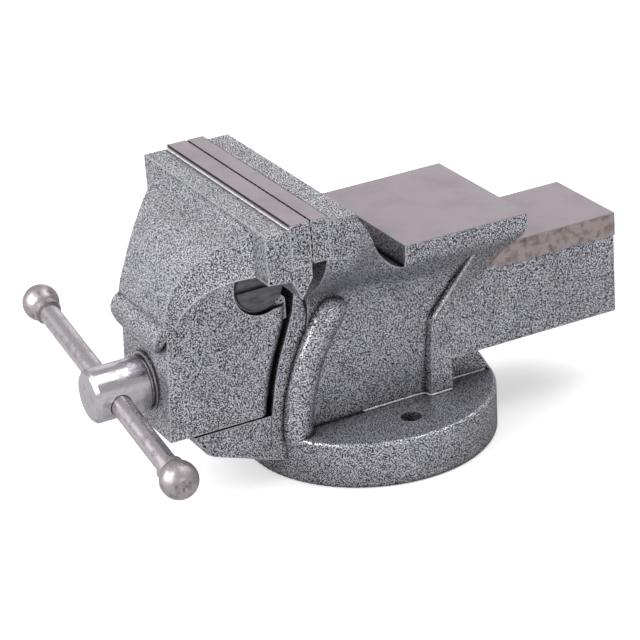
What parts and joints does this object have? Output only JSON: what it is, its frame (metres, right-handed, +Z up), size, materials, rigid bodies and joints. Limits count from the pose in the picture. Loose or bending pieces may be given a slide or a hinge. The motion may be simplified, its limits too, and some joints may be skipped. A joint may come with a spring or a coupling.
{
  "type": "bench vise",
  "caption": "Fixed-base engineer's bench vise with a round bolted foot, anvil block, enclosed rear slide housing, sliding front jaw, lead screw and sliding cross handle.",
  "frame": {"origin": "centre of the round foot's bottom face, on the bench top", "axes": "+Z up from the bench, +Y from the handle towards the rear housing, +X along the jaws; jaws closed"},
  "size_m": [0.1639, 0.2671, 0.1415],
  "materials": {
    "painted_casting": "silver-grey hammertone enamel",
    "ground_steel": "ground flat, bare",
    "turned_steel": "turned, bare",
    "slide_iron": "machined, oiled",
    "nut_iron": "machined, greased",
    "spring_steel": "oiled wire",
    "zinc_fastener": "zinc plated",
    "cover_sheet": "silver-grey enamel on sheet"
  },
  "bodies": {
    "vise_base": {"fixed_body": "painted_casting", "rear_jaw_plate": "ground_steel", "rear_plate_screws": "zinc_fastener", "spindle_nut": "nut_iron", "nut_bolt": "zinc_fastener", "nut_bolt_washer": "zinc_fastener", "rear_cover": "cover_sheet", "rear_cover_screws": "zinc_fastener"},
    "front_jaw": {"movable_jaw": "painted_casting", "front_jaw_plate": "ground_steel", "front_plate_screws": "zinc_fastener", "slide_bar": "slide_iron", "slide_pin": "turned_steel"},
    "spindle": {"lead_screw": "turned_steel", "thrust_washer": "turned_steel", "retainer_collar": "turned_steel", "retainer_pin": "turned_steel", "retainer_spring": "spring_steel"},
    "handle": {"handle_bar": "turned_steel", "handle_ball_near": "turned_steel", "handle_ball_far": "turned_steel"}
  },
  "joints": [
    {"name": "jaw_slide", "type": "slide", "parent": "vise_base", "child": "front_jaw", "axis": [0, -1, 0], "range_m": [0, 0.11]},
    {"name": "screw_spin", "type": "hinge", "parent": "front_jaw", "child": "spindle", "pos_m": [0, -0.13, 0.0572], "axis": [0, -1, 0], "range_deg": [0, 7921]},
    {"name": "bar_slide", "type": "slide", "parent": "spindle", "child": "handle", "axis": [0.9799, 0, -0.1994], "range_m": [-0.0492, 0.0562]}
  ],
  "couplings": [
    {"joint": "screw_spin", "follows": "jaw_slide", "rad_per_m": 1256.6}
  ]
}
